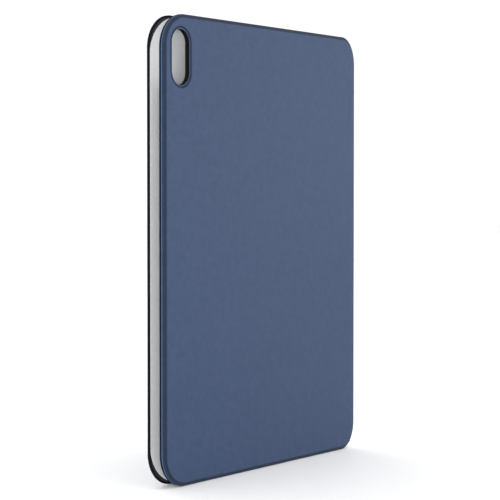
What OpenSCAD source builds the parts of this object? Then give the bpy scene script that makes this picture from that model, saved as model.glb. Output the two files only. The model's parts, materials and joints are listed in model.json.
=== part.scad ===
// Folio keyboard case for a 10.9 inch class tablet, closed and standing on its short edge.
// X runs from the free edge to the spine, Y from the back cover to the keyboard deck, Z is up.
// Inside the modules x = 0 is the free edge and y = 0 the outer face of the back cover.

/* [Tablet] */
// Long side of the tablet that the case holds
tablet_h = 247.6; // [200:0.1:310]
// Short side of the tablet
tablet_w = 178.5; // [145:0.1:230]
// Thickness of the tablet
tablet_t = 6.1; // [5:0.1:9]
// How far the panels stand out past the tablet, on every side
edge_margin = 0.7; // [0.4:0.1:2]
// Air left between the tablet and the keyboard deck
bay_clear = 0.3; // [0.2:0.1:1]

/* [Panels] */
// Corner radius of both panels, at the free edge
corner_r = 18.5; // [12:0.5:25]
// Corner radius of both panels, at the spine
spine_corner_r = 10; // [9:0.5:20]
// Coated outer skin
skin_t = 0.5; // [0.4:0.1:0.8]
// Microfibre lining
lining_t = 0.4; // [0.3:0.1:0.6]

/* [Back cover] */
// Board thickness in the middle of the cover
cover_board_t = 2.3; // [1.9:0.1:3]
// Board thickness at the pressed rim
cover_flange_t = 0.5; // [0.4:0.1:0.8]
// How far the outer face stands above the pressed rim
cover_step = 1.2; // [0.8:0.1:1.4]
// Width of the pressed rim outside
cover_rim_w = 2.6; // [2:0.1:4]
// Width of the pressed rim inside
cover_inner_rim_w = 4; // [3:0.1:5]

/* [Camera cut-out] */
// Width of the cut-out
camera_w = 14; // [10:0.5:18]
// Height of the cut-out
camera_h = 28.8; // [22:0.2:35]
// Free edge to the middle of the cut-out
camera_from_edge = 14.9; // [13:0.1:20]
// Top edge to the top of the cut-out
camera_from_top = 8.3; // [7:0.1:14]
// Width of the pressed border round it
camera_border = 1.8; // [1:0.1:2.5]
// Depth of the pressed border
camera_border_depth = 0.7; // [0.4:0.1:1]
// Wall of the black liner in the cut-out
camera_liner_t = 0.6; // [0.4:0.1:1]

/* [Keyboard deck] */
// Thickness of the deck in the middle
deck_t = 3.8; // [3.8:0.1:5]
// Base plate thickness, floor, wall and flange
plate_t = 0.6; // [0.5:0.1:1]
// Width of the thin rim round the deck
deck_rim_w = 4.5; // [4:0.1:6]
// Room between the base plate's wall and what lies in it
tray_clear = 0.1; // [0.05:0.05:0.3]

/* [Keys] */
// Panel end to the first key cell
key_side_margin = 6; // [6:0.1:12]
// Spine side of the panel to the first key row
key_spine_margin = 13.5; // [13:0.1:20]
// Distance from row to row
row_pitch = 15.8; // [13:0.1:18]
// Gap between two caps
key_gap = 1.6; // [1.4:0.1:3]
// Room between a cap and its opening
key_clear = 0.25; // [0.15:0.05:0.4]
// How far a key goes down
key_travel = 0.9; // [0.5:0.05:1]
// Height of a cap
cap_t = 1; // [0.9:0.05:1.1]
// Top wall of a cap
cap_top_t = 0.5; // [0.4:0.05:0.6]
// Side wall of a cap
cap_wall = 1; // [0.7:0.1:1.2]
// Corner radius of a cap
cap_r = 1.5; // [0.8:0.1:2]
// How far caps, frame and trackpad lie below the lining's face
cap_sink = 0.1; // [0.05:0.05:0.2]
// Membrane circuit, and the base of the dome sheet above it
sheet_t = 0.25; // [0.15:0.05:0.3]
// Radius of a rubber dome
dome_r = 2.4; // [1.5:0.1:3]
// Bar width of the scissor frames
scissor_bar = 0.8; // [0.6:0.1:1]

/* [Trackpad] */
// Width along the rows
trackpad_w = 100; // [60:1:130]
// Free edge to the trackpad
trackpad_from_edge = 19.4; // [17:0.1:30]
// Keyboard to trackpad
trackpad_gap = 7; // [5:0.5:12]
// Plate thickness
trackpad_t = 1; // [0.8:0.1:1.1]
// Click travel
trackpad_travel = 0.25; // [0.15:0.05:0.3]

/* [Spine] */
// Panel edge to the hinge axes
axis_gap = 1.6; // [1.5:0.1:2.5]
// Spine core, from the axes inwards
core_in = 0.9; // [0.7:0.1:1]
// Inside radius of the skin round the axes
wrap_r = 1.3; // [1.3:0.05:1.6]
// Where the spine starts and ends, from the panel ends
spine_inset = 12; // [11.5:0.5:24]
// How much the core is shorter than the skin, at each end
core_inset = 4; // [2:0.5:5]

/* [Hinges] */
// Outside radius of the knuckles
knuckle_r = 1.15; // [1:0.05:1.15]
// Radius of the hinge pins
pin_r = 0.55; // [0.45:0.05:0.6]
// Radial running clearance of the pins
pin_clear = 0.03; // [0.01:0.01:0.08]
// Length of one hinge unit
hinge_len = 40; // [30:1:60]
// Length of the link's knuckle in the middle of a unit
link_len = 20; // [12:1:26]
// Panel end to the hinge unit
hinge_from_end = 30; // [30:0.5:45]
// End gap between knuckles
knuckle_gap = 0.3; // [0.2:0.05:0.5]
// Depth of the leaf glued into the cover board
cover_leaf_d = 18; // [10:0.5:25]

/* [Contacts and magnets] */
// Spine side of the panel to the middle of the contact block
contact_from_spine = 15; // [12:0.5:25]
// Contact block, across
contact_w = 5; // [4:0.1:6]
// Contact block, along
contact_h = 18; // [15:0.5:25]
// Distance between contacts
contact_pitch = 4.5; // [4:0.1:5]
// Radius of a contact
contact_r = 0.9; // [0.6:0.1:1.2]
// How far the contacts stand proud of the lining
contact_proud = 0.15; // [0.1:0.05:0.2]
// How deep the contact block is set into the board
contact_depth = 1.2; // [1:0.1:1.4]
// How deep the contacts reach into the board
contact_pin_depth = 0.8; // [0.5:0.1:0.9]
// Magnet length
magnet_h = 30; // [15:1:40]
// Magnet width
magnet_w = 6; // [4:0.5:8]
// Magnet thickness
magnet_t = 1.2; // [0.8:0.1:1.3]
// Board left over the cover's magnets
magnet_cover = 0.4; // [0.3:0.1:0.6]
// Panel edge to the magnets
magnet_from_edge = 7; // [6.5:0.5:9]
// Distance between magnets
magnet_pitch = 62; // [45:1:75]
// Width of the ribbon that joins cover and deck
flex_w = 12; // [8:0.5:16]
// Thickness of the ribbon
flex_t = 0.2; // [0.15:0.05:0.2]

/* [Hidden] */
$fn = 96;
over = 1;
join = 0.25;

slate = "#4c5b78";
lining_grey = "#b9babb";
edge_black = "#14161c";
key_grey = "#d9dadc";
steel = "#aab0b6";
copper = "#b87333";

panel_h = tablet_h + 2 * edge_margin;
panel_w = tablet_w + 2 * edge_margin;
mid_z = panel_h / 2;

// depths of the back cover
cover_t = skin_t + cover_board_t + lining_t;
cover_flange_y = cover_step + skin_t;
cover_flange_y1 = cover_flange_y + cover_flange_t;
cover_axis_y = cover_flange_y + cover_flange_t / 2;
board_y1 = skin_t + cover_board_t;
border_y = camera_border_depth + skin_t;

// depths of the deck, from its face towards the bay
deck_y = cover_t + tablet_t + bay_clear;
case_t = deck_y + deck_t;
flange_y = deck_y + lining_t;
flange_y1 = flange_y + plate_t;
deck_axis_y = flange_y + plate_t / 2;
floor_y1 = case_t - skin_t;
floor_y = floor_y1 - plate_t;
membrane_y = floor_y - sheet_t;
dome_sheet_y = membrane_y - sheet_t;
cap_y = deck_y + cap_sink;
cap_y1 = cap_y + cap_t;
cap_top_y1 = cap_y + cap_top_t;
low_gap = 0.1;
hair = 0.02;
dome_y = cap_top_y1 + key_travel + low_gap;
scissor_y = dome_y + hair;
scissor_y1 = dome_sheet_y - hair;

// plan of the deck
plate_inset = deck_rim_w + skin_t;
tray_inset = plate_inset + plate_t;
frame_inset = tray_inset + tray_clear;
key_pitch = (panel_h - 2 * key_side_margin) / 15;
block_x1 = panel_w - key_spine_margin;
block_x0 = block_x1 - 5 * row_pitch;
block_z1 = panel_h - key_side_margin;
island_margin = 1;
island_x0 = block_x0 - island_margin;
island_x1 = block_x1 + island_margin;
island_r = 2;
trackpad_x0 = trackpad_from_edge;
trackpad_x1 = island_x0 - trackpad_gap;
trackpad_r = 3;
half_gap = 0.9;

// spine
axis_x = panel_w + axis_gap;
skin_r = wrap_r + skin_t;
case_w = axis_x + skin_r;
wrap_angle = 50;
core_y0 = cover_axis_y + knuckle_r + 2 * knuckle_gap;
core_y1 = deck_axis_y - knuckle_r - 2 * knuckle_gap;
hinge_zs = [hinge_from_end, panel_h - hinge_from_end - hinge_len];
leaf_len = (hinge_len - link_len) / 2 - knuckle_gap;
leaf_short = 0.2;
deck_leaf_d = tray_inset - leaf_short;

contact_x = panel_w - contact_from_spine;
board_x0 = island_x1 + 1;
board_x1 = panel_w - frame_inset;
board_len = 70;
pcb_t = 0.6;
chip_t = 0.5;
chip_h = 8;
chip_inset = 0.8;
chip_zs = [-24, -8, 12];
tail_w = 32;
flex_lap = 2;

// under the keys
scissor_dx = 9;
scissor_dz = 10.4;
scissor_gap = 0.3;
dome_gap = 0.2;
dome_taper = 0.7;
rib_w = 0.8;
rib_gap = 2;

// under the trackpad
bracket_inset = 1;
bracket_w = 1.5;
switch_w = 6;
switch_from_edge = 12;
switch_gap = 0.3;
button_r = 1.2;
button_h = 0.4;

// Single keys: name, row, first unit, width in units, half (1 upper, -1 lower, 0 whole)
KEYS = [
    ["key_delete", 0, 13, 2, 0],
    ["key_tab", 1, 0, 1.5, 0],
    ["key_backslash", 1, 13.5, 1.5, 0],
    ["key_caps_lock", 2, 0, 1.75, 0],
    ["key_return", 2, 12.75, 2.25, 0],
    ["key_left_shift", 3, 0, 2.25, 0],
    ["key_right_shift", 3, 12.25, 2.75, 0],
    ["key_function", 4, 0, 1, 0],
    ["key_control", 4, 1, 1, 0],
    ["key_left_alt", 4, 2, 1, 0],
    ["key_left_meta", 4, 3, 1.25, 0],
    ["space_bar", 4, 4.25, 5.5, 0],
    ["key_right_meta", 4, 9.75, 1.25, 0],
    ["key_right_alt", 4, 11, 1, 0],
    ["key_arrow_left", 4, 12, 1, 0],
    ["key_arrow_up", 4, 13, 1, 1],
    ["key_arrow_down", 4, 13, 1, -1],
    ["key_arrow_right", 4, 14, 1, 0]
];
// Rows of equal keys: name, row, first unit, how many
KEY_ROWS = [
    ["number_keys", 0, 0, 13],
    ["upper_letter_keys", 1, 1.5, 12],
    ["home_letter_keys", 2, 1.75, 11],
    ["lower_letter_keys", 3, 2.25, 10]
];
ROW_CAPS = [for (r = KEY_ROWS) for (i = [0 : r[3] - 1]) [r[0], r[1], r[2] + i, 1, 0]];
CAPS = concat(ROW_CAPS, KEYS);

// Puts the middle of the case's base on the origin
module place() {
    translate([-case_w / 2, -case_t / 2, 0]) children();
}

// A flat layer between two depths, from an outline drawn in X and Z
module layer(y0, y1) {
    translate([0, y1, 0]) rotate([90, 0, 0]) linear_extrude(y1 - y0) children();
}

// A bar along Z, from an outline drawn in X and Y
module bar(z0, z1) {
    translate([0, 0, z0]) linear_extrude(z1 - z0) children();
}

module box(x0, x1, y0, y1, z0, z1) {
    translate([x0, y0, z0]) cube([x1 - x0, y1 - y0, z1 - z0]);
}

module round_rect(x0, z0, w, h, r) {
    translate([x0 + r, z0]) square([w - 2 * r, h]);
    translate([x0, z0 + r]) square([w, h - 2 * r]);
    for (x = [x0 + r, x0 + w - r], z = [z0 + r, z0 + h - r]) translate([x, z]) circle(r);
}

// Outline of both panels: wide corners at the free edge, tighter ones at the spine
module panel(inset) {
    w = panel_w - 2 * inset;
    h = panel_h - 2 * inset;
    r0 = corner_r - inset;
    r1 = spine_corner_r - inset;
    translate([inset, inset]) {
        translate([r0, 0]) square([w - r0 - r1, h]);
        translate([0, r0]) square([w / 2, h - 2 * r0]);
        translate([w / 2, r1]) square([w / 2, h - 2 * r1]);
        for (z = [r0, h - r0]) translate([r0, z]) circle(r0);
        for (z = [r1, h - r1]) translate([w - r1, z]) circle(r1);
    }
}

module camera_pill(grow) {
    r = camera_w / 2;
    top = panel_h - camera_from_top;
    translate([camera_from_edge, top - camera_h + r]) circle(r + grow);
    translate([camera_from_edge, top - r]) circle(r + grow);
    translate([camera_from_edge - r - grow, top - camera_h + r])
        square([2 * (r + grow), camera_h - 2 * r]);
}

// ---- back cover ----

module cover_skin() {
    color(slate) place() difference() {
        union() {
            difference() {
                union() {
                    layer(cover_step, cover_flange_y) panel(0);
                    layer(0, cover_flange_y) panel(cover_rim_w);
                }
                layer(skin_t, cover_flange_y + over) panel(cover_rim_w + skin_t);
            }
            layer(0, border_y) camera_pill(camera_border + skin_t);
        }
        layer(-over, camera_border_depth) camera_pill(camera_border);
        layer(-over, cover_t) camera_pill(0);
    }
}

module cover_board() {
    color(edge_black) place() difference() {
        union() {
            layer(skin_t, cover_flange_y) panel(cover_rim_w + skin_t);
            layer(cover_flange_y, cover_flange_y1) panel(0);
            layer(cover_flange_y1, board_y1) panel(cover_inner_rim_w + lining_t);
        }
        layer(skin_t - over, border_y) camera_pill(camera_border + skin_t);
        layer(0, cover_t) camera_pill(camera_liner_t);
        contact_body(board_y1 + over);
        cover_magnet_bodies();
        cover_flex_body(over);
        for (z = hinge_zs) cover_leaf_plate(z, over);
    }
}

module cover_lining() {
    color(lining_grey) place() difference() {
        union() {
            layer(cover_flange_y1, cover_flange_y1 + lining_t) panel(0);
            layer(cover_flange_y1, cover_t) panel(cover_inner_rim_w);
        }
        layer(cover_flange_y1 - over, board_y1) panel(cover_inner_rim_w + lining_t);
        layer(0, cover_t + over) camera_pill(camera_liner_t);
        contact_body(cover_t + over);
    }
}

module camera_liner() {
    color("#0b0c0f") place() layer(border_y, cover_t) difference() {
        camera_pill(camera_liner_t);
        camera_pill(0);
    }
}

module cover_magnet_bodies() {
    y1 = board_y1 - magnet_cover;
    for (i = [-1 : 1], x = [magnet_from_edge, panel_w - magnet_from_edge - magnet_w - cover_leaf_d])
        box(x, x + magnet_w, y1 - magnet_t, y1, mid_z + i * magnet_pitch - magnet_h / 2,
            mid_z + i * magnet_pitch + magnet_h / 2);
}

module cover_magnets() {
    color(steel) place() cover_magnet_bodies();
}

module contact_body(y1) {
    r = contact_w / 2;
    layer(board_y1 - contact_depth, y1)
        round_rect(contact_x - r, mid_z - contact_h / 2, contact_w, contact_h, r - hair);
}

module contact_pin_bodies(y1) {
    for (i = [-1 : 1]) layer(board_y1 - contact_pin_depth, y1)
        translate([contact_x, mid_z + i * contact_pitch]) circle(contact_r);
}

module contact_block() {
    color("#1b1d22") place() difference() {
        contact_body(cover_t);
        contact_pin_bodies(cover_t + over);
    }
}

module contact_pins() {
    color("#c9a24a") place() contact_pin_bodies(cover_t + contact_proud);
}

module cover_flex_body(past_edge) {
    box(contact_x, panel_w + past_edge, cover_axis_y - flex_t / 2, cover_axis_y + flex_t / 2,
        mid_z - flex_w / 2, mid_z + flex_w / 2);
}

// The ribbon stops under the contact block and short of the fold
module cover_flex() {
    color(copper) place() difference() {
        cover_flex_body(0);
        contact_body(cover_t);
    }
}

// ---- hinges ----

module knuckle(y, z0, z1, bore_r) {
    bar(z0, z1) translate([axis_x, y]) difference() {
        circle(knuckle_r);
        circle(bore_r);
    }
}

module leaf_knuckles(y, z) {
    for (z0 = [z, z + hinge_len - leaf_len]) knuckle(y, z0, z0 + leaf_len, pin_r + pin_clear);
}

module cover_leaf_plate(z, past_edge) {
    box(panel_w - cover_leaf_d, panel_w + past_edge, cover_flange_y, cover_flange_y1, z, z + hinge_len);
}

module leaf_necks(y, t, z) {
    for (z0 = [z, z + hinge_len - leaf_len]) difference() {
        box(panel_w - over, axis_x, y - t / 2, y + t / 2, z0, z0 + leaf_len);
        translate([axis_x, y, z0 - over]) cylinder(r = (knuckle_r + pin_r) / 2, h = leaf_len + 2 * over);
    }
}

module cover_hinge_leaves() {
    color(steel) place() for (z = hinge_zs) union() {
        cover_leaf_plate(z, 0);
        leaf_necks(cover_axis_y, cover_flange_t, z);
        leaf_knuckles(cover_axis_y, z);
    }
}

module deck_leaf_plate(z, past_edge) {
    box(panel_w - deck_leaf_d, panel_w + past_edge, flange_y, flange_y1, z, z + hinge_len);
}

module base_hinge_leaves() {
    color(steel) place() for (z = hinge_zs) union() {
        deck_leaf_plate(z, 0);
        leaf_necks(deck_axis_y, plate_t, z);
        leaf_knuckles(deck_axis_y, z);
    }
}

module pins(y) {
    for (z = hinge_zs) translate([axis_x, y, z]) cylinder(r = pin_r, h = hinge_len);
}

module cover_hinge_pins() {
    color("#8b9198") place() pins(cover_axis_y);
}

module base_hinge_pins() {
    color("#8b9198") place() pins(deck_axis_y);
}

module link_outline(y_bore) {
    difference() {
        union() {
            for (y = [cover_axis_y, deck_axis_y]) translate([axis_x, y]) circle(knuckle_r);
            translate([axis_x - core_in, cover_axis_y])
                square([core_in + knuckle_r, deck_axis_y - cover_axis_y]);
        }
        for (y = [cover_axis_y, deck_axis_y]) translate([axis_x, y]) circle(y_bore);
    }
}

module hinge_links() {
    color(steel) place() for (z = hinge_zs)
        bar(z + hinge_len / 2 - link_len / 2, z + hinge_len / 2 + link_len / 2) link_outline(pin_r);
}

// ---- spine ----

module core_outline() {
    intersection() {
        union() {
            for (y = [cover_axis_y, deck_axis_y]) translate([axis_x, y]) circle(wrap_r);
            translate([axis_x - core_in, cover_axis_y])
                square([core_in + wrap_r, deck_axis_y - cover_axis_y]);
        }
        translate([axis_x - core_in, 0]) square([core_in + wrap_r, case_t]);
    }
}

module spine_core() {
    color(edge_black) place() difference() {
        bar(spine_inset + core_inset, panel_h - spine_inset - core_inset) core_outline();
        for (z = hinge_zs) {
            bar(z - knuckle_gap, z + hinge_len + knuckle_gap) {
                translate([axis_x - 2 * wrap_r, -over]) square([4 * wrap_r, core_y0 + over]);
                translate([axis_x - 2 * wrap_r, core_y1]) square([4 * wrap_r, case_t - core_y1]);
            }
            bar(z + hinge_len / 2 - link_len / 2, z + hinge_len / 2 + link_len / 2)
                translate([axis_x - 2 * core_in, 0]) square([2 * core_in + knuckle_r, case_t]);
        }
        spine_flex_body();
    }
}

// The part of the wrapped skin that always stays with the spine
module wrap_outline(r, y_mid, side) {
    reach = 2 * skin_r;
    intersection() {
        difference() {
            translate([axis_x, y_mid]) circle(r + skin_t);
            translate([axis_x, y_mid]) circle(r);
        }
        translate([axis_x, y_mid]) polygon([
            [0, 0], [reach, 0], [reach, side * reach],
            [reach * cos(wrap_angle), side * reach * sin(wrap_angle)]
        ]);
    }
}

module spine_skin() {
    color(slate) place() bar(spine_inset, panel_h - spine_inset) {
        translate([axis_x + wrap_r, cover_axis_y]) square([skin_t, deck_axis_y - cover_axis_y]);
        wrap_outline(wrap_r, cover_axis_y, -1);
        wrap_outline(wrap_r, deck_axis_y, 1);
    }
}

module spine_lining() {
    color(lining_grey) place()
        box(axis_x - core_in - lining_t, axis_x - core_in, core_y0, core_y1,
            spine_inset, panel_h - spine_inset);
}

module spine_flex_body() {
    box(axis_x - core_in, axis_x - core_in + flex_t, cover_axis_y, deck_axis_y,
        mid_z - flex_w / 2, mid_z + flex_w / 2);
}

module spine_flex() {
    color(copper) place() spine_flex_body();
}

// ---- keyboard deck ----

module base_skin() {
    color(slate) place() difference() {
        union() {
            layer(flange_y1, flange_y1 + skin_t) panel(0);
            layer(flange_y1, case_t) panel(deck_rim_w);
        }
        layer(flange_y1 - over, floor_y1) panel(plate_inset);
    }
}

module base_plate() {
    color("#8d9299") place() difference() {
        union() {
            layer(flange_y, flange_y1) panel(0);
            layer(flange_y, floor_y1) panel(plate_inset);
        }
        layer(flange_y - over, floor_y) panel(tray_inset);
        for (z = hinge_zs) deck_leaf_plate(z, over);
        base_flex_body(over);
    }
}

module deck_lining() {
    color(lining_grey) place() layer(deck_y, flange_y) difference() {
        panel(0);
        island_outline(tray_clear);
        trackpad_outline(key_clear);
    }
}

module island_outline(grow) {
    intersection() {
        round_rect(island_x0 - grow, frame_inset - grow, island_x1 - island_x0 + 2 * grow,
            panel_h - 2 * frame_inset + 2 * grow, island_r + grow);
        panel(frame_inset - grow);
    }
}

module trackpad_outline(grow) {
    round_rect(trackpad_x0 - grow, mid_z - trackpad_w / 2 - grow, trackpad_x1 - trackpad_x0 + 2 * grow,
        trackpad_w + 2 * grow, trackpad_r + grow);
}

// Size of a cap: depth across the rows, width along them
function cap_dx(k) = k[4] == 0 ? row_pitch - key_gap : (row_pitch - key_gap - half_gap) / 2;
function cap_dz(k) = k[3] * key_pitch - key_gap;
// Corner of a cap nearest the free edge and the bottom
function cap_x(k) = block_x1 - (k[1] + 1) * row_pitch + key_gap / 2
    + (k[4] == 1 ? cap_dx(k) + half_gap : 0);
function cap_z(k) = block_z1 - (k[2] + k[3]) * key_pitch + key_gap / 2;

module cap_outline(k, grow) {
    round_rect(cap_x(k) - grow, cap_z(k) - grow, cap_dx(k) + 2 * grow, cap_dz(k) + 2 * grow, cap_r + grow);
}

module key_frame() {
    color("#7f848c") place() difference() {
        union() {
            layer(flange_y, flange_y1) panel(frame_inset);
            layer(cap_y, flange_y + join) island_outline(0);
            for (x = [island_x0, island_x1 - rib_w])
                box(x, x + rib_w, flange_y1 - join, dome_sheet_y, corner_r, panel_h - corner_r);
            for (x = [trackpad_x0 - rib_gap - rib_w, trackpad_x1 + rib_gap])
                box(x, x + rib_w, flange_y1 - join, floor_y, corner_r, panel_h - corner_r);
        }
        layer(deck_y, floor_y) trackpad_outline(key_clear);
        layer(deck_y, floor_y) for (k = CAPS) cap_outline(k, key_clear);
    }
}

module sheet_outline() {
    intersection() {
        translate([island_x0, frame_inset]) square([island_x1 - island_x0, panel_h - 2 * frame_inset]);
        panel(frame_inset);
    }
}

// Size of the scissor frame under a cap, and the dome that fits inside it
function frame_dx(k) = min(scissor_dx, cap_dx(k) - 2 * cap_wall - scissor_bar);
function frame_dz(k) = min(scissor_dz, cap_dz(k) - 2 * cap_wall - scissor_bar);
function has_inner(k) = frame_dx(k) > 8 * scissor_bar;
function bars(k) = has_inner(k) ? 2 * scissor_bar + scissor_gap : scissor_bar;
function dome_room(k) = frame_dx(k) / 2 - bars(k) - dome_gap;

module at_cap(k) {
    translate([cap_x(k) + cap_dx(k) / 2, 0, cap_z(k) + cap_dz(k) / 2]) children();
}

// The domes are drawn pressed flat, as under a key that is down
module dome_sheet() {
    color("#d8dde2") place() {
        layer(dome_sheet_y, membrane_y) sheet_outline();
        for (k = CAPS) at_cap(k) translate([0, dome_sheet_y + join / 2, 0]) rotate([90, 0, 0])
            cylinder(r1 = min(dome_r, dome_room(k)), r2 = min(dome_r, dome_room(k)) * dome_taper,
                h = dome_sheet_y + join / 2 - dome_y);
    }
}

module membrane_circuit() {
    color("#c7ccd2") place() {
        layer(membrane_y, floor_y) sheet_outline();
        box(island_x1 - over, board_x0 - low_gap, membrane_y, floor_y,
            mid_z - tail_w / 2, mid_z + tail_w / 2);
    }
}

module scissor_ring(dx, dz) {
    difference() {
        square([dx, dz], center = true);
        square([dx - 2 * scissor_bar, dz - 2 * scissor_bar], center = true);
    }
}

// The scissor frames are drawn folded flat
module key_scissors() {
    bite = 2 * (scissor_bar + scissor_gap);
    color("#eceef0") place() for (k = CAPS) at_cap(k) layer(scissor_y, scissor_y1) {
        scissor_ring(frame_dx(k), frame_dz(k));
        if (has_inner(k)) {
            scissor_ring(frame_dx(k) - bite, frame_dz(k) - bite);
            for (s = [-1, 1]) translate([s * (frame_dx(k) / 2 - scissor_bar), 0])
                square([scissor_bar, scissor_bar], center = true);
        }
    }
}

module controller_board() {
    color("#2f5d46") place() {
        box(board_x0, board_x1, floor_y - pcb_t, floor_y, mid_z - board_len / 2, mid_z + board_len / 2);
        for (z = chip_zs) box(board_x0 + chip_inset, board_x1 - chip_inset, floor_y - pcb_t - chip_t,
            floor_y - pcb_t + low_gap, mid_z + z, mid_z + z + chip_h);
    }
}

module deck_magnets() {
    color(steel) place() for (i = [-1 : 1])
        box(magnet_from_edge, magnet_from_edge + magnet_w, floor_y - magnet_t, floor_y,
            mid_z + i * magnet_pitch - magnet_h / 2, mid_z + i * magnet_pitch + magnet_h / 2);
}

module base_flex_body(past_edge) {
    box(board_x1 - flex_lap, panel_w + past_edge, flange_y1 - flex_t, flange_y1,
        mid_z - flex_w / 2, mid_z + flex_w / 2);
}

module base_flex() {
    color(copper) place() {
        difference() {
            base_flex_body(0);
            layer(flange_y, flange_y1) panel(frame_inset);
        }
    }
}

// ---- trackpad ----

module trackpad() {
    color("#c9cbce") place() layer(cap_y, cap_y + trackpad_t) trackpad_outline(0);
}

module trackpad_bracket() {
    color(steel) place()
        layer(cap_y + trackpad_t + trackpad_travel + low_gap / 2, floor_y) difference() {
            trackpad_outline(-bracket_inset);
            trackpad_outline(-bracket_inset - bracket_w);
        }
}

module trackpad_switch() {
    x = trackpad_x0 + switch_from_edge;
    y = cap_y + trackpad_t + trackpad_travel + low_gap / 2;
    half = switch_w / 2;
    color("#2a2c30") place() {
        box(x - half, x + half, y + switch_gap, floor_y, mid_z - half, mid_z + half);
        translate([x, y + button_h, mid_z]) rotate([90, 0, 0]) cylinder(r = button_r, h = button_h);
    }
}

// ---- keys ----

module key_cap(k) {
    difference() {
        layer(cap_y, cap_y1) cap_outline(k, 0);
        layer(cap_top_y1, cap_y1 + over) cap_outline(k, -cap_wall);
    }
}

module keys_named(name) {
    color(key_grey) place() for (k = CAPS) if (k[0] == name) key_cap(k);
}

module number_keys() { keys_named("number_keys"); }
module upper_letter_keys() { keys_named("upper_letter_keys"); }
module home_letter_keys() { keys_named("home_letter_keys"); }
module lower_letter_keys() { keys_named("lower_letter_keys"); }
module key_delete() { keys_named("key_delete"); }
module key_tab() { keys_named("key_tab"); }
module key_backslash() { keys_named("key_backslash"); }
module key_caps_lock() { keys_named("key_caps_lock"); }
module key_return() { keys_named("key_return"); }
module key_left_shift() { keys_named("key_left_shift"); }
module key_right_shift() { keys_named("key_right_shift"); }
module key_function() { keys_named("key_function"); }
module key_control() { keys_named("key_control"); }
module key_left_alt() { keys_named("key_left_alt"); }
module key_left_meta() { keys_named("key_left_meta"); }
module space_bar() { keys_named("space_bar"); }
module key_right_meta() { keys_named("key_right_meta"); }
module key_right_alt() { keys_named("key_right_alt"); }
module key_arrow_left() { keys_named("key_arrow_left"); }
module key_arrow_up() { keys_named("key_arrow_up"); }
module key_arrow_down() { keys_named("key_arrow_down"); }
module key_arrow_right() { keys_named("key_arrow_right"); }

cover_skin();
cover_board();
cover_lining();
camera_liner();
cover_magnets();
contact_block();
contact_pins();
cover_flex();
cover_hinge_leaves();
cover_hinge_pins();
hinge_links();
base_hinge_pins();
spine_core();
spine_skin();
spine_lining();
spine_flex();
base_hinge_leaves();
base_flex();
base_skin();
base_plate();
deck_lining();
key_frame();
dome_sheet();
membrane_circuit();
key_scissors();
controller_board();
deck_magnets();
trackpad();
trackpad_bracket();
trackpad_switch();
number_keys();
upper_letter_keys();
home_letter_keys();
lower_letter_keys();
key_delete();
key_tab();
key_backslash();
key_caps_lock();
key_return();
key_left_shift();
key_right_shift();
key_function();
key_control();
key_left_alt();
key_left_meta();
space_bar();
key_right_meta();
key_right_alt();
key_arrow_left();
key_arrow_up();
key_arrow_down();
key_arrow_right();
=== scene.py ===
import json
import math
import bmesh
import bpy
from mathutils import Matrix, Vector


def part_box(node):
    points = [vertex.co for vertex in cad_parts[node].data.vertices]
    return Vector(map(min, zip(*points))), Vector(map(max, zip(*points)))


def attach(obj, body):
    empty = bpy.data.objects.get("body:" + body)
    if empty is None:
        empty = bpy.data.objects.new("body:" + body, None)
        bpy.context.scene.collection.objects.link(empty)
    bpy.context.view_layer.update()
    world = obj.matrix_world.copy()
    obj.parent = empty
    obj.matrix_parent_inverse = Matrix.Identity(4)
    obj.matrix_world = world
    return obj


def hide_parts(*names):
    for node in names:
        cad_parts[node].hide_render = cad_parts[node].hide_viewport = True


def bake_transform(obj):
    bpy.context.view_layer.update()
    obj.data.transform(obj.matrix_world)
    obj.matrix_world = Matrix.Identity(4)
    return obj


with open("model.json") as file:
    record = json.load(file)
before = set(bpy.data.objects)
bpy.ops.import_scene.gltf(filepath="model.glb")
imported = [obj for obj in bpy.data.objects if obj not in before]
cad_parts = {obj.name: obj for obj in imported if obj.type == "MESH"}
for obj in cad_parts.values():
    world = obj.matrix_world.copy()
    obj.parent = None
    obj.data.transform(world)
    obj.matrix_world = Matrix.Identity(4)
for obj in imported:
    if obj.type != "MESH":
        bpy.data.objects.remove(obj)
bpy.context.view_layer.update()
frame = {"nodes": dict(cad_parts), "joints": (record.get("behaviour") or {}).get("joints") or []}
nodes = frame["nodes"]
scene = bpy.context.scene
mm = 0.001
print("stage 1: frame loaded,", len(nodes), "nodes")

# shapes are worked out in millimetres and brought to metres when a piece is finished
panelRadius = (18.5, 11.5)  # at the free edge and at the spine
foldAxes = {}
for joint in frame["joints"]:
    if "fold" in joint["name"]:
        foldAxes[joint["name"]] = Vector(joint["pos_m"]) / mm


# materials: cloudy colour, two sizes of grain, and roughness that follows them

def mixColour(tree, kind, factor, first, second):
    node = tree.nodes.new("ShaderNodeMix")
    node.data_type = "RGBA"
    node.blend_type = kind
    for socket, value in ((node.inputs[0], factor), (node.inputs[6], first), (node.inputs[7], second)):
        if isinstance(value, (int, float, tuple)):
            socket.default_value = value
        else:
            tree.links.new(value, socket)
    return node.outputs[2]


def ramp(tree, source, low, high, lowValue=0.0, highValue=1.0):
    node = tree.nodes.new("ShaderNodeMapRange")
    tree.links.new(source, node.inputs["Value"])
    node.inputs["From Min"].default_value = low
    node.inputs["From Max"].default_value = high
    node.inputs["To Min"].default_value = lowValue
    node.inputs["To Max"].default_value = highValue
    return node.outputs["Result"]


def noise(tree, coords, scale, detail=4.0, rough=0.55):
    node = tree.nodes.new("ShaderNodeTexNoise")
    tree.links.new(coords, node.inputs["Vector"])
    node.inputs["Scale"].default_value = scale
    node.inputs["Detail"].default_value = detail
    node.inputs["Roughness"].default_value = rough
    return node.outputs["Fac"]


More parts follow.
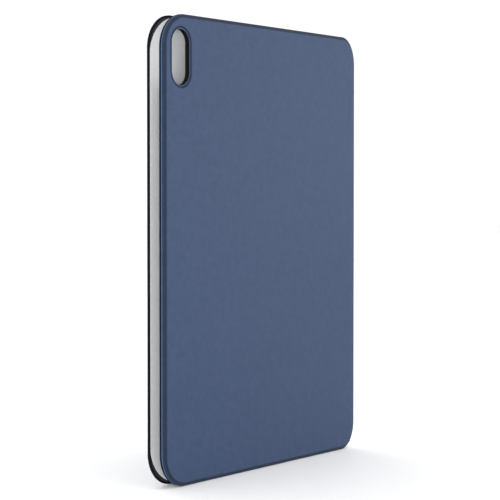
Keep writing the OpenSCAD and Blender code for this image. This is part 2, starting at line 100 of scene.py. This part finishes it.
def makeMaterial(name, look):
    material = bpy.data.materials.new(name)
    material.use_nodes = True
    tree = material.node_tree
    shader = tree.nodes["Principled BSDF"]
    mapping = tree.nodes.new("ShaderNodeMapping")
    tree.links.new(tree.nodes.new("ShaderNodeTexCoord").outputs["Object"], mapping.inputs["Vector"])
    mapping.inputs["Scale"].default_value = look.get("stretch", (1, 1, 1))
    place = mapping.outputs["Vector"]
    cloud = ramp(tree, noise(tree, place, look["cloudScale"]), 0.3, 0.7)
    colour = mixColour(tree, "MIX", cloud, look["dark"] + (1,), look["light"] + (1,))
    fine = noise(tree, place, look["grainScale"] * 2.3, 3.0, 0.6)
    cells = tree.nodes.new("ShaderNodeTexVoronoi")
    tree.links.new(place, cells.inputs["Vector"])
    cells.inputs["Scale"].default_value = look["grainScale"]
    height = mixColour(tree, "MIX", look.get("cellShare", 0.4), fine, cells.outputs["Distance"])
    speckle = ramp(tree, fine, 0.3, 0.7, 1 - look["speckle"], 1 + look["speckle"])
    colour = mixColour(tree, "MULTIPLY", 1.0, colour, speckle)
    # the leather's colour is multiplied by a per-vertex tone: pressed darkening of the leather, painted
    # shade below 1 and painted highlight above 1
    if look.get("pressAndPaintedLight"):
        pressAndPaintedLight = tree.nodes.new("ShaderNodeAttribute")
        pressAndPaintedLight.attribute_name = "pressAndPaintedLight"
        colour = mixColour(tree, "MULTIPLY", 1.0, colour, pressAndPaintedLight.outputs["Fac"])
    tree.links.new(colour, shader.inputs["Base Color"])
    tree.links.new(ramp(tree, fine, 0.3, 0.7, *look["rough"]), shader.inputs["Roughness"])
    bump = tree.nodes.new("ShaderNodeBump")
    bump.inputs["Strength"].default_value = look["bump"]
    bump.inputs["Distance"].default_value = look["grainDepth"] * mm
    tree.links.new(height, bump.inputs["Height"])
    tree.links.new(bump.outputs["Normal"], shader.inputs["Normal"])
    shader.inputs["Metallic"].default_value = look.get("metallic", 0.0)
    shader.inputs["Specular IOR Level"].default_value = look.get("specular", 0.5)
    shader.inputs["Sheen Weight"].default_value = look.get("sheen", 0.0)
    shader.inputs["Sheen Roughness"].default_value = look.get("sheenRough", 0.5)
    shader.inputs["Coat Weight"].default_value = look.get("coat", 0.0)
    shader.inputs["Coat Roughness"].default_value = 0.25
    return material


looks = {
    "navyLeather": {
        "dark": (0.0262, 0.0465, 0.099), "light": (0.0335, 0.0565, 0.116), "cloudScale": 260, "pressAndPaintedLight": True,
        "grainScale": 1150, "grainDepth": 0.05, "bump": 0.45, "cellShare": 0.55, "speckle": 0.10,
        "rough": (0.5, 0.64), "specular": 0.17},
    "edgeBinding": {
        "dark": (0.0008, 0.0014, 0.004), "light": (0.002, 0.003, 0.007), "cloudScale": 60,
        "grainScale": 1400, "grainDepth": 0.03, "bump": 0.3, "speckle": 0.2, "rough": (0.7, 0.85),
        "specular": 0.12},
    "microfibre": {
        "dark": (0.545, 0.553, 0.56), "light": (0.575, 0.583, 0.59), "cloudScale": 420,
        "grainScale": 2600, "grainDepth": 0.08, "bump": 0.5, "cellShare": 0.2, "speckle": 0.10,
        "rough": (0.85, 0.97), "specular": 0.15, "sheen": 0.1, "sheenRough": 0.6},
    "greyBoard": {
        "dark": (0.006, 0.008, 0.013), "light": (0.012, 0.015, 0.022), "cloudScale": 90,
        "grainScale": 900, "grainDepth": 0.06, "bump": 0.4, "speckle": 0.25, "rough": (0.75, 0.92)},
    "blackTrim": {
        "dark": (0.0008, 0.001, 0.0015), "light": (0.002, 0.0024, 0.003), "cloudScale": 120,
        "grainScale": 2400, "grainDepth": 0.02, "bump": 0.25, "speckle": 0.12, "rough": (0.45, 0.6),
        "specular": 0.1},
    "keyPlastic": {
        "dark": (0.016, 0.018, 0.023), "light": (0.024, 0.027, 0.033), "cloudScale": 70,
        "grainScale": 3000, "grainDepth": 0.02, "bump": 0.3, "speckle": 0.10, "rough": (0.42, 0.55)},
    "keyLegend": {
        "dark": (0.62, 0.63, 0.64), "light": (0.72, 0.73, 0.74), "cloudScale": 200,
        "grainScale": 3000, "grainDepth": 0.01, "bump": 0.15, "speckle": 0.04, "rough": (0.5, 0.6)},
    "frameShell": {
        "dark": (0.030, 0.038, 0.056), "light": (0.042, 0.052, 0.074), "cloudScale": 50,
        "grainScale": 2200, "grainDepth": 0.03, "bump": 0.35, "speckle": 0.10, "rough": (0.5, 0.62)},
    "padGlass": {
        "dark": (0.050, 0.058, 0.076), "light": (0.062, 0.070, 0.090), "cloudScale": 25,
        "grainScale": 3600, "grainDepth": 0.01, "bump": 0.15, "speckle": 0.05, "rough": (0.30, 0.38),
        "coat": 0.2},
    "hingeSteel": {
        "dark": (0.36, 0.37, 0.39), "light": (0.52, 0.53, 0.55), "cloudScale": 160,
        "stretch": (1, 1, 0.05), "grainScale": 1800, "grainDepth": 0.02, "bump": 0.3,
        "speckle": 0.12, "rough": (0.26, 0.4), "metallic": 1.0},
    "contactGold": {
        "dark": (0.72, 0.46, 0.15), "light": (0.86, 0.60, 0.24), "cloudScale": 300,
        "grainScale": 2600, "grainDepth": 0.01, "bump": 0.2, "speckle": 0.06, "rough": (0.2, 0.3),
        "metallic": 1.0},
    "amberRibbon": {
        "dark": (0.34, 0.13, 0.02), "light": (0.46, 0.20, 0.04), "cloudScale": 140,
        "stretch": (0.2, 1, 1), "grainScale": 900, "grainDepth": 0.02, "bump": 0.25,
        "speckle": 0.12, "rough": (0.3, 0.42)},
    "domeRubber": {
        "dark": (0.40, 0.40, 0.38), "light": (0.50, 0.50, 0.48), "cloudScale": 60,
        "grainScale": 1500, "grainDepth": 0.03, "bump": 0.3, "speckle": 0.08, "rough": (0.6, 0.75)},
    "membraneFilm": {
        "dark": (0.10, 0.16, 0.13), "light": (0.16, 0.24, 0.20), "cloudScale": 120,
        "grainScale": 800, "grainDepth": 0.02, "bump": 0.25, "speckle": 0.15, "rough": (0.35, 0.5)},
    "greenBoard": {
        "dark": (0.010, 0.055, 0.030), "light": (0.018, 0.085, 0.045), "cloudScale": 200,
        "grainScale": 1200, "grainDepth": 0.03, "bump": 0.3, "speckle": 0.2, "rough": (0.35, 0.5)},
    "paleFloor": {
        "dark": (0.955, 0.955, 0.955), "light": (0.97, 0.97, 0.97), "cloudScale": 2, "grainScale": 300,
        "grainDepth": 0.02, "bump": 0.1, "speckle": 0.01, "rough": (0.6, 0.7), "specular": 0.2},
}
materials = {name: makeMaterial(name, look) for name, look in looks.items()}
slotLooks = {
    "outer_leather": "navyLeather", "lining": "microfibre", "board_core": "greyBoard",
    "black_trim": "blackTrim", "key_caps": "keyPlastic", "key_frame": "frameShell",
    "trackpad": "padGlass", "base_plate": "greyBoard", "hinge_steel": "hingeSteel",
    "contact_gold": "contactGold", "ribbon": "amberRibbon", "rubber_sheet": "domeRubber",
    "membrane": "membraneFilm", "circuit_board": "greenBoard",
}
for node in nodes.values():
    for index, old in enumerate(node.data.materials):
        node.data.materials[index] = materials[slotLooks[old.name.split(".")[0]]]
print("stage 2: materials made,", len(materials))


# shaping helpers

def rectOf(node, grow=0.0):
    lo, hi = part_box(node)
    return (lo.x / mm - grow, hi.x / mm + grow, lo.z / mm - grow, hi.z / mm + grow)


panelRect = rectOf("cover_board")  # the outline that both leaves share
leafRect = (panelRect[0], foldAxes["cover_fold"].x) + panelRect[2:]  # their leather reaches the fold
middleZ = (panelRect[2] + panelRect[3]) / 2


def cornerPlace(rect, radius, inset):
    # how far a corner's centre stands from the middle in x and z, and the corner's radius there
    smallest = 0.05
    x0, x1, z0, z1 = rect
    r = max(radius - inset, smallest)
    return (x1 - x0) / 2 - inset - r, (z1 - z0) / 2 - inset - r, r


def ringEdges(verts):
    inRing = set(verts)
    return list({edge for v in verts for edge in v.link_edges if edge.other_vert(v) in inRing})


def stackLoops(bm, rect, radius, profile, steps=14):
    # a rounded rectangle standing in x and z, drawn on through profile rows of inset, y, colour tone
    # (pressed darkening with painted shade below 1, painted highlight above 1) and, where the ring stands
    # higher than the inset leaves it, how much; a pair of radii is for the low and the high side in x
    radii = radius if isinstance(radius, tuple) else (radius, radius)
    pressAndPaintedLight = bm.verts.layers.float.get("pressAndPaintedLight") or bm.verts.layers.float.new("pressAndPaintedLight")
    half = math.pi / (4 * steps)
    verts = bmesh.ops.create_circle(bm, radius=1 / math.cos(half), segments=4 * steps)["verts"]
    bmesh.ops.rotate(bm, verts=verts, matrix=Matrix.Rotation(half, 3, "Z"))
    bmesh.ops.rotate(bm, verts=verts, matrix=Matrix.Rotation(math.pi / 2, 3, "X"))
    middle = Vector(((rect[0] + rect[1]) / 2, 0, (rect[2] + rect[3]) / 2))
    old = [(0.0, 0.0, 1.0)] * 2
    rings = []
    for inset, y, shade, *taller in profile:
        if rings:
            made = bmesh.ops.extrude_edge_only(bm, edges=rings[-1])["geom"]
            verts = [item for item in made if isinstance(item, bmesh.types.BMVert)]
        new = [cornerPlace(rect, side, inset) for side in radii]
        for v in verts:
            away = v.co - middle if rings else v.co.copy()
            signX, signZ = math.copysign(1, away.x), math.copysign(1, away.z)
            side = int(away.x > 0)
            wasX, wasZ, wasR = old[side]
            nowX, nowZ, nowR = new[side]
            x = signX * nowX + (away.x - signX * wasX) * nowR / wasR
            z = signZ * (nowZ + sum(taller)) + (away.z - signZ * wasZ) * nowR / wasR
            v.co = (middle.x + x, y, middle.z + z)
            v[pressAndPaintedLight] = shade
        old = [(nowX, nowZ + sum(taller), nowR) for nowX, nowZ, nowR in new]
        rings.append(ringEdges(verts))
    return rings


def closeFlat(bm, *rings):
    edges = [edge for ring in rings for edge in ring]
    bmesh.ops.triangle_fill(bm, use_beauty=False, use_dissolve=False, edges=edges, normal=(0, -1, 0))


def newPiece(bm, name, look, sharp=35):
    # sharp is the angle, in degrees, from which an edge stays crisp
    bmesh.ops.remove_doubles(bm, verts=bm.verts, dist=0.001)
    bmesh.ops.recalc_face_normals(bm, faces=bm.faces)
    bmesh.ops.scale(bm, verts=bm.verts, vec=(mm, mm, mm))
    mesh = bpy.data.meshes.new(name)
    bm.to_mesh(mesh)
    bm.free()
    mesh.materials.append(materials[look])
    mesh.shade_smooth()
    mesh.set_sharp_from_angle(angle=math.radians(sharp))
    piece = bpy.data.objects.new(name, mesh)
    scene.collection.objects.link(piece)
    return piece


# camera, lights and floor

cameraLook = {"place": (-0.7263, -0.5331, 0.1540), "heading": 53.45, "pitch": 1.55, "lens": 114.4,
              "sensor": 36, "shiftY": -0.024, "nearest": 0.01}
camera = bpy.data.objects.new("camera", bpy.data.cameras.new("camera"))
scene.collection.objects.link(camera)
camera.location = cameraLook["place"]
heading, pitch = math.radians(cameraLook["heading"]), math.radians(cameraLook["pitch"])
aim = Vector((math.sin(heading) * math.cos(pitch), math.cos(heading) * math.cos(pitch), -math.sin(pitch)))
camera.rotation_euler = aim.to_track_quat("-Z", "Y").to_euler()
camera.data.lens = cameraLook["lens"]
camera.data.sensor_width = cameraLook["sensor"]
camera.data.shift_y = cameraLook["shiftY"]
camera.data.clip_start = cameraLook["nearest"]
scene.camera = camera

lightAim = Vector((0, 0, 0.12))
lights = {
    "rightLight": {"at": (0.62, -0.48, 0.27), "size": 0.35, "power": 1.6},
    "sideLight": {"at": (-1.0, -0.6, 0.1), "size": 0.5, "power": 11},
    "backLight": {"at": (0.6, 1.6, 1.0), "size": 1.4, "power": 8},
}
for name, look in lights.items():
    data = bpy.data.lights.new(name, "AREA")
    data.size = look["size"]
    data.energy = look["power"]
    lamp = bpy.data.objects.new(name, data)
    lamp.location = look["at"]
    lamp.rotation_euler = (lightAim - lamp.location).to_track_quat("-Z", "Y").to_euler()
    scene.collection.objects.link(lamp)

studioLook = {"ambient": 1.06, "floorRadius": 8.0, "floorSides": 96, "floorDrop": 0.3 * mm}
world = bpy.data.worlds.new("studio")
world.use_nodes = True
background = world.node_tree.nodes["Background"]
background.inputs["Color"].default_value = (1.0, 1.0, 1.0, 1)
background.inputs["Strength"].default_value = studioLook["ambient"]
scene.world = world
scene.view_settings.view_transform = "Standard"

bm = bmesh.new()
bmesh.ops.create_circle(bm, cap_ends=True, radius=studioLook["floorRadius"],
                        segments=studioLook["floorSides"])
bmesh.ops.translate(bm, verts=bm.verts, vec=(0, 0, -studioLook["floorDrop"]))
floorMesh = bpy.data.meshes.new("studioFloor")
bm.to_mesh(floorMesh)
bm.free()
studioFloor = bpy.data.objects.new("studioFloor", floorMesh)
scene.collection.objects.link(studioFloor)
floorMesh.materials.append(materials["paleFloor"])
print("stage 3: camera, lights and floor")


# back cover: leather turned over the edge of the board, a flat face and a pressed camera border

coverLook = {
    # third column is the colour tone: 1.2 to 1.5 on the rim's outer wall is a painted highlight, the
    # chamfer rows below 1 are the pressed border darkened as pressed leather and as painted shade, and 0.5
    # at the tucked-in edge is painted shade
    "edge": [(0.6, -5.2, 0.5), (0.0, -5.2, 1.2), (-0.1, -5.28, 1.5), (-0.1, -5.72, 1.5),
             (0.05, -5.85, 0.9, 0.05), (0.3, -5.95, 0.46, 0.1), (1.3, -6.22, 0.42, 0.4),
             (2.2, -6.5, 0.33, 0.8), (2.8, -6.66, 0.55, 1.1), (3.2, -6.70, 1.0, 1.2),
             (4.2, -6.70, 1.0, 1.2)],
    # on the camera lip 1.4 and 1.5 are a painted highlight, and the groove rows below 1 are pressed
    # leather darkened with painted shade
    "cameraLip": [(-2.6, -6.70, 1.0), (-1.95, -6.70, 0.95), (-1.9, -6.6, 0.45), (-1.6, -6.3, 0.28),
                  (-1.05, -6.24, 0.28), (-0.8, -6.4, 0.6), (-0.62, -6.52, 1.4), (-0.42, -6.52, 1.5),
                  (-0.35, -6.42, 1.5), (-0.35, -6.2, 1.0), (-0.6, -6.2, 1.0), (-2.4, -6.3, 1.0)],
    "inside": [(3.4, -6.3, 1.0, 1.2), (0.6, -5.4, 1.0), (0.6, -5.2, 0.5)],
    "linerWall": 0.6,
}
pillRect = rectOf("camera_liner", -coverLook["linerWall"])
pillRadius = (pillRect[1] - pillRect[0]) / 2

bm = bmesh.new()
outer = stackLoops(bm, leafRect, panelRadius, coverLook["edge"])
lip = stackLoops(bm, pillRect, pillRadius, coverLook["cameraLip"], 12)
inner = stackLoops(bm, leafRect, panelRadius, coverLook["inside"])
closeFlat(bm, outer[-1], lip[0])
closeFlat(bm, inner[0], lip[-1])
coverLeather = newPiece(bm, "coverLeather", "navyLeather")
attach(coverLeather, "back_cover")
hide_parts("cover_skin")

# black edge paint on both leaves; its black also stands in for the painted shade in the gap between the
# leaves
bindingLook = {
    "back_cover": [(1.6, -4.1, 1), (1.6, -3.95, 1), (0.2, -3.95, 1), (-0.02, -4.05, 1), (-0.1, -4.3, 1),
                   (-0.1, -5.14, 1), (0.0, -5.24, 1), (0.5, -5.24, 1), (0.8, -4.6, 1), (1.6, -4.1, 1)],
    "keyboard_deck": [(0.85, 3.2, 1), (0.85, 2.9, 1), (0.25, 2.9, 1), (0.03, 3.02, 1), (-0.03, 3.3, 1),
                      (-0.03, 4.0, 1), (0.03, 4.26, 1), (0.3, 4.48, 1), (0.8, 4.78, 1), (0.8, 4.3, 1),
                      (0.85, 3.2, 1)],
}
for name, body in (("coverEdgeBinding", "back_cover"), ("deckEdgeBinding", "keyboard_deck")):
    bm = bmesh.new()
    stackLoops(bm, leafRect, panelRadius, bindingLook[body])
    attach(newPiece(bm, name, "edgeBinding", sharp=50), body)

# deck: leather over the swelling tray
deckLook = {
    # third column is the colour tone: the leather is darker on the slope towards the rim, pressed leather
    # with painted shade as on the back cover
    "outside": [(0.5, 4.42, 0.9), (0.5, 4.62, 0.9), (1.2, 5.02, 0.8), (2.2, 5.52, 0.8), (3.2, 6.02, 0.85),
                (4.1, 6.44, 0.9), (4.8, 6.64, 1.0), (5.6, 6.70, 1.0), (7.0, 6.70, 1.0)],
    "inside": [(5.2, 6.2, 1.0), (0.9, 4.42, 1.0), (0.5, 4.42, 0.9)],
}
bm = bmesh.new()
outer = stackLoops(bm, leafRect, panelRadius, deckLook["outside"])
inner = stackLoops(bm, leafRect, panelRadius, deckLook["inside"])
closeFlat(bm, outer[-1])
closeFlat(bm, inner[0])
deckLeather = newPiece(bm, "deckLeather", "navyLeather")
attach(deckLeather, "keyboard_deck")
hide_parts("base_skin")
print("stage 4: leather leaves")

# linings: soft grey sheets with openings for what comes through them
liningLook = {
    "cover": [(1.3, -4.12, 1), (1.3, -4.06, 1), (3.4, -4.04, 1), (3.9, -3.75, 1), (4.3, -3.54, 1),
              (4.8, -3.50, 1), (5.6, -3.50, 1)],
    "coverBack": [(4.8, -3.88, 1), (1.6, -4.12, 1), (1.3, -4.12, 1)],
    "coverHole": [(-1.3, -3.50, 1), (-0.9, -3.50, 1), (-0.75, -3.58, 1), (-0.75, -3.88, 1)],
    "deck": [(0.9, 3.26, 1), (0.9, 2.96, 1), (1.05, 2.89, 1), (1.3, 2.88, 1), (2.0, 2.88, 1)],
    "deckBack": [(1.4, 3.26, 1), (0.9, 3.26, 1)],
    "deckHole": [(-0.9, 2.88, 1), (-0.45, 2.88, 1), (-0.25, 2.97, 1), (-0.2, 3.26, 1)],
    # deckCorner is wider than the leaf's corners, so more of the black binding shows at the corners,
    # partly as painted shade
    "deckCorner": (23.0, 12.0),
    "blockInset": 0.6, "blockCorner": 0.4, "islandCorner": 2.0, "padCorner": 3.0,
}
bm = bmesh.new()
face = stackLoops(bm, panelRect, panelRadius, liningLook["cover"])
back = stackLoops(bm, panelRect, panelRadius, liningLook["coverBack"])
pill = stackLoops(bm, pillRect, pillRadius, liningLook["coverHole"], 12)
blockRect = rectOf("contact_block", -liningLook["blockInset"])
block = stackLoops(bm, blockRect, liningLook["blockCorner"], liningLook["coverHole"], 4)
closeFlat(bm, face[-1], pill[0], block[0])
closeFlat(bm, back[0], pill[-1], block[-1])
coverLining = newPiece(bm, "coverLining", "microfibre")
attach(coverLining, "back_cover")
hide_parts("cover_lining")

bm = bmesh.new()
face = stackLoops(bm, panelRect, liningLook["deckCorner"], liningLook["deck"])
back = stackLoops(bm, panelRect, liningLook["deckCorner"], liningLook["deckBack"])
island = stackLoops(bm, rectOf("dome_sheet"), liningLook["islandCorner"], liningLook["deckHole"], 6)
pad = stackLoops(bm, rectOf("trackpad"), liningLook["padCorner"], liningLook["deckHole"], 6)
closeFlat(bm, face[-1], island[0], pad[0])
closeFlat(bm, back[0], island[-1], pad[-1])
deckLining = newPiece(bm, "deckLining", "microfibre")
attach(deckLining, "keyboard_deck")
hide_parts("deck_lining")

# camera opening: a thin black liner with rounded mouths
linerLook = [(-0.25, -6.15, 1), (-0.25, -3.55, 1), (-0.32, -3.46, 1), (-0.6, -3.46, 1), (-0.7, -3.55, 1),
             (-0.7, -6.25, 1), (-0.6, -6.32, 1), (-0.35, -6.32, 1), (-0.25, -6.15, 1)]
bm = bmesh.new()
stackLoops(bm, pillRect, pillRadius, linerLook, 14)
cameraLiner = newPiece(bm, "cameraLiner", "blackTrim")
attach(cameraLiner, "back_cover")
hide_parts("camera_liner")
print("stage 5: linings and camera opening")


# spine: leather and lining strips curved round the two folds

spineLook = {
    "wrap": 1.8, "skin": 0.45, "arcSteps": 10, "rows": 120, "longer": 8.5, "lining": 0.3, "sharp": 50,
    "endRadius": 16.5, "endSpan": 12.4, "turnPaintedShade": 0.8, "paintedShadeRise": 0.6, "paintedShadeFall": 0.25,
    "seam": -0.575, "coverStop": -2.6, "deckStart": 1.5,
    "coverEdge": (84.9, -6.72), "coverRun": (87.5, -6.68),
    "deckEdge": (85.6, 5.72), "deckDip": (87.2, 5.46),
    "liningZ": (14.5, 234.5), "inside": (86, -0.6),
}
coverAxis, deckAxis = foldAxes["cover_fold"], foldAxes["base_fold"]


def arcPoints(centre, radius, start, end, steps):
    turns = [math.radians(start + (end - start) * i / steps) for i in range(steps + 1)]
    return [(centre.x + radius * math.cos(a), centre.y + radius * math.sin(a)) for a in turns]


def makeStrip(points, zSpan, thickness):
    # a line of edges through the points, drawn out along Z, then thickened
    bm = bmesh.new()
    pressAndPaintedLight = bm.verts.layers.float.new("pressAndPaintedLight")
    rows = spineLook["rows"]
    zLow, zHigh = zSpan
    verts = [bm.verts.new((x, y, zLow)) for x, y in points]
    edges = [bm.edges.new(pair) for pair in zip(verts, verts[1:])]
    for _ in range(rows):
        made = bmesh.ops.extrude_edge_only(bm, edges=edges)["geom"]
        fresh = [item for item in made if isinstance(item, bmesh.types.BMVert)]
        bmesh.ops.translate(bm, verts=fresh, vec=(0, 0, (zHigh - zLow) / rows))
        edges = ringEdges(fresh)
    bmesh.ops.recalc_face_normals(bm, faces=bm.faces)
    bm.faces.ensure_lookup_table()
    middle = bm.faces[len(bm.faces) // 2]
    inside = Vector(spineLook["inside"] + (middleZ,))  # a point between the leaves
    if middle.normal.dot(middle.calc_center_median() - inside) < 0:
        bmesh.ops.reverse_faces(bm, faces=bm.faces)
    bmesh.ops.solidify(bm, geom=bm.faces, thickness=thickness)
    for v in bm.verts:  # painted shade: the leather's colour is darkened where it turns away over the spine
        rise = (v.co.x - coverAxis.x) / spineLook["paintedShadeRise"]
        fall = (outerX - v.co.x) / spineLook["paintedShadeFall"]
        v[pressAndPaintedLight] = 1.0 - spineLook["turnPaintedShade"] * min(max(min(rise, fall), 0), 1)
    return bm


def softenEnds(bm, zSpan):
    # a wrap follows the round corners of the leaves towards its ends
    radius, edgeX = spineLook["endRadius"], spineLook["coverEdge"][0]
    for v in bm.verts:
        past = spineLook["endSpan"] - min(v.co.z - zSpan[0], zSpan[1] - v.co.z)
        if past > 0:
            drop = radius - math.sqrt(radius ** 2 - past ** 2)
            v.co.x -= drop * (v.co.x - edgeX) / (outerX - edgeX)


skinZ = rectOf("spine_skin")[2:]
wrapZ = (skinZ[0] - spineLook["longer"], skinZ[1] + spineLook["longer"])
coverArc = arcPoints(coverAxis, spineLook["wrap"], -90, 0, spineLook["arcSteps"])
deckArc = arcPoints(deckAxis, spineLook["wrap"], 0, 90, spineLook["arcSteps"])
outerX = coverArc[-1][0]
coverPath = [spineLook["coverEdge"], spineLook["coverRun"]] + coverArc
coverPath += [(outerX, spineLook["coverStop"]), (outerX, spineLook["seam"])]
deckPath = [(outerX, spineLook["seam"]), (outerX, spineLook["deckStart"])] + deckArc
deckPath += [spineLook["deckDip"], spineLook["deckEdge"]]
wraps = {}
for name, path in (("coverWrap", coverPath), ("deckWrap", deckPath)):
    bm = makeStrip(path, wrapZ, spineLook["skin"])
    softenEnds(bm, wrapZ)
    wraps[name] = newPiece(bm, name, "navyLeather", spineLook["sharp"])
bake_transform(wraps["coverWrap"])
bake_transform(wraps["deckWrap"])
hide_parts("spine_skin")

foldLiningLook = {
    "coverFoldLining": {
        "path": [(86.6, -4.02), (87.5, -3.9), (88.1, -3.6), (88.4, -3.25), (88.55, -2.9), (88.6, -1.8),
                 (88.6, -0.575)],
        "bodies": ("back_cover", "spine"), "start": (88.0, -3.7), "end": (88.6, -2.9)},
    "deckFoldLining": {
        "path": [(88.6, -0.575), (88.6, 0.9), (88.6, 1.7), (88.45, 2.1), (88.15, 2.45), (87.6, 2.75),
                 (86.6, 2.86)],
        "bodies": ("spine", "keyboard_deck"), "start": (88.6, 1.7), "end": (87.9, 2.6)},
}
for name, look in foldLiningLook.items():
    bm = makeStrip(look["path"], spineLook["liningZ"], spineLook["lining"])
    strip = newPiece(bm, name, "microfibre", spineLook["sharp"])
    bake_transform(strip)
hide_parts("spine_lining")
print("stage 6: spine strips")


# keys: dished caps with legends, rebuilt in each key's own place

capWall = [(1.0, 3.5, 1), (1.0, 4.0, 1), (0.05, 4.0, 1), (0.0, 3.9, 1), (0.0, 3.22, 1), (0.06, 3.09, 1),
           (0.22, 3.015, 1), (0.45, 3.0, 1)]
keyLook = {"pitch": 15.8, "radius": 1.5, "steps": 4, "smallDepth": 10,
           "sides": capWall + [(1.6, 3.035, 1), (3.0, 3.06, 1)], "smallSides": capWall + [(1.2, 3.02, 1)],
           "letter": 4.6, "word": 2.7, "legendY": 3.03, "legendThick": 0.03,
           "arrow": 1.3, "arrowSquash": 0.8}
groupLegends = {
    "number_keys": "` 1 2 3 4 5 6 7 8 9 0 - =".split(),
    "upper_letter_keys": "Q W E R T Y U I O P [ ]".split(),
    "home_letter_keys": "A S D F G H J K L ; '".split(),
    "lower_letter_keys": "Z X C V B N M , . /".split(),
}
singleLegends = {
    "key_delete": "delete", "key_tab": "tab", "key_backslash": "\\", "key_caps_lock": "caps lock",
    "key_return": "return", "key_left_shift": "shift", "key_right_shift": "shift", "key_function": "fn",
    "key_control": "ctrl", "key_left_alt": "alt", "key_left_meta": "meta", "space_bar": "",
    "key_right_meta": "meta", "key_right_alt": "alt",
}
arrowTurns = {"key_arrow_left": 90, "key_arrow_up": 0, "key_arrow_down": 180, "key_arrow_right": -90}
# legends read with the spine at the top and the highest Z on the left
legendFrame = Matrix(((0, 1, 0, 0), (0, 0, -1, 0), (-1, 0, 0, 0), (0, 0, 0, 1)))


def addLegend(bm, text, size, x, z):
    curve = bpy.data.curves.new("legend", "FONT")
    curve.body = text
    curve.size = size
    curve.align_x = "CENTER"
    curve.align_y = "CENTER"
    curve.extrude = keyLook["legendThick"]
    curve.resolution_u = 3
    holder = bpy.data.objects.new("legend", curve)
    scene.collection.objects.link(holder)
    bpy.context.view_layer.update()
    mesh = bpy.data.meshes.new_from_object(holder.evaluated_get(bpy.context.evaluated_depsgraph_get()))
    mesh.transform(Matrix.Translation((x, keyLook["legendY"], z)) @ legendFrame)
    bm.from_mesh(mesh)
    bpy.data.objects.remove(holder)
    bpy.data.curves.remove(curve)
    bpy.data.meshes.remove(mesh)


def addArrow(bm, turn, x, z):
    size = keyLook["arrow"]
    made = bmesh.ops.create_cone(bm, cap_ends=True, segments=3, radius1=size, radius2=size,
                                 depth=2 * keyLook["legendThick"])["verts"]
    place = Matrix.Translation((x, keyLook["legendY"], z)) @ legendFrame
    squash = Matrix.Diagonal((1, keyLook["arrowSquash"], 1, 1))
    place = place @ Matrix.Rotation(math.radians(turn), 4, "Z") @ squash
    bmesh.ops.transform(bm, matrix=place, verts=made)


def addCap(bm, rect, sides):
    rings = stackLoops(bm, rect, keyLook["radius"], sides, keyLook["steps"])
    closeFlat(bm, rings[0])
    closeFlat(bm, rings[-1])


keyNodes = [name for name in nodes if name.startswith("key_")]
keyNodes = [name for name in keyNodes if name not in ("key_frame", "key_scissors")]
keyNodes += ["space_bar"] + list(groupLegends)
for name in keyNodes:
    x0, x1, z0, z1 = rectOf(name)
    caps, marks = bmesh.new(), bmesh.new()
    if name in groupLegends:
        texts = groupLegends[name]
        capLong = (z1 - z0) - (len(texts) - 1) * keyLook["pitch"]
        for index, text in enumerate(texts):
            top = z1 - index * keyLook["pitch"]
            addCap(caps, (x0, x1, top - capLong, top), keyLook["sides"])
            addLegend(marks, text, keyLook["letter"], (x0 + x1) / 2, top - capLong / 2)
    else:
        small = x1 - x0 < keyLook["smallDepth"]
        addCap(caps, (x0, x1, z0, z1), keyLook["smallSides" if small else "sides"])
        if name in arrowTurns:
            addArrow(marks, arrowTurns[name], (x0 + x1) / 2, (z0 + z1) / 2)
        elif singleLegends[name]:
            text = singleLegends[name]
            size = keyLook["letter" if len(text) == 1 else "word"]
            addLegend(marks, text, size, (x0 + x1) / 2, (z0 + z1) / 2)
    piece = newPiece(caps, name + "_caps", "keyPlastic")
    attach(piece, name)
    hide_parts(name)
    if marks.verts:
        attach(newPiece(marks, name + "_legends", "keyLegend", 30), name)
    else:
        marks.free()
print("stage 7: keys", len(keyNodes))

# trackpad: one smooth plate with a fine rounded rim
padLook = [(0.1, 4.0, 1), (0.0, 3.9, 1), (0.0, 3.2, 1), (0.05, 3.08, 1), (0.15, 3.02, 1), (0.35, 3.0, 1),
           (0.8, 3.0, 1)]
bm = bmesh.new()
rings = stackLoops(bm, rectOf("trackpad"), liningLook["padCorner"], padLook, 10)
closeFlat(bm, rings[0])
closeFlat(bm, rings[-1])
trackpadPlate = newPiece(bm, "trackpadPlate", "padGlass")
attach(trackpadPlate, "trackpad")
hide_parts("trackpad")

# charging contacts: a rounded black block with three domed gold pins
contactLook = {
    "corner": 1.2,
    "block": [(0.0, -5.05, 1), (0.0, -3.72, 1), (0.08, -3.58, 1), (0.25, -3.5, 1), (0.6, -3.5, 1)],
    "pin": [(0.0, -4.6, 1), (0.0, -3.5, 1), (0.1, -3.42, 1), (0.3, -3.37, 1), (0.6, -3.35, 1)],
}
bm = bmesh.new()
rings = stackLoops(bm, rectOf("contact_block"), contactLook["corner"], contactLook["block"], 6)
closeFlat(bm, rings[0])
closeFlat(bm, rings[-1])
contactBlock = newPiece(bm, "contactBlock", "blackTrim")
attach(contactBlock, "back_cover")
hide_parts("contact_block")

pinX0, pinX1, pinZ0, pinZ1 = rectOf("contact_pins")
pinRadius = (pinX1 - pinX0) / 2
bm = bmesh.new()
for share in (0, 0.5, 1):
    z = pinZ0 + pinRadius + share * (pinZ1 - pinZ0 - 2 * pinRadius)
    rect = (pinX0, pinX1, z - pinRadius, z + pinRadius)
    pinRings = stackLoops(bm, rect, pinRadius, contactLook["pin"], 5)
    closeFlat(bm, pinRings[0])
    closeFlat(bm, pinRings[-1])
contactPins = newPiece(bm, "contactPins", "contactGold")
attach(contactPins, "back_cover")
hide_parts("contact_pins")
print("stage 8: trackpad and contacts")
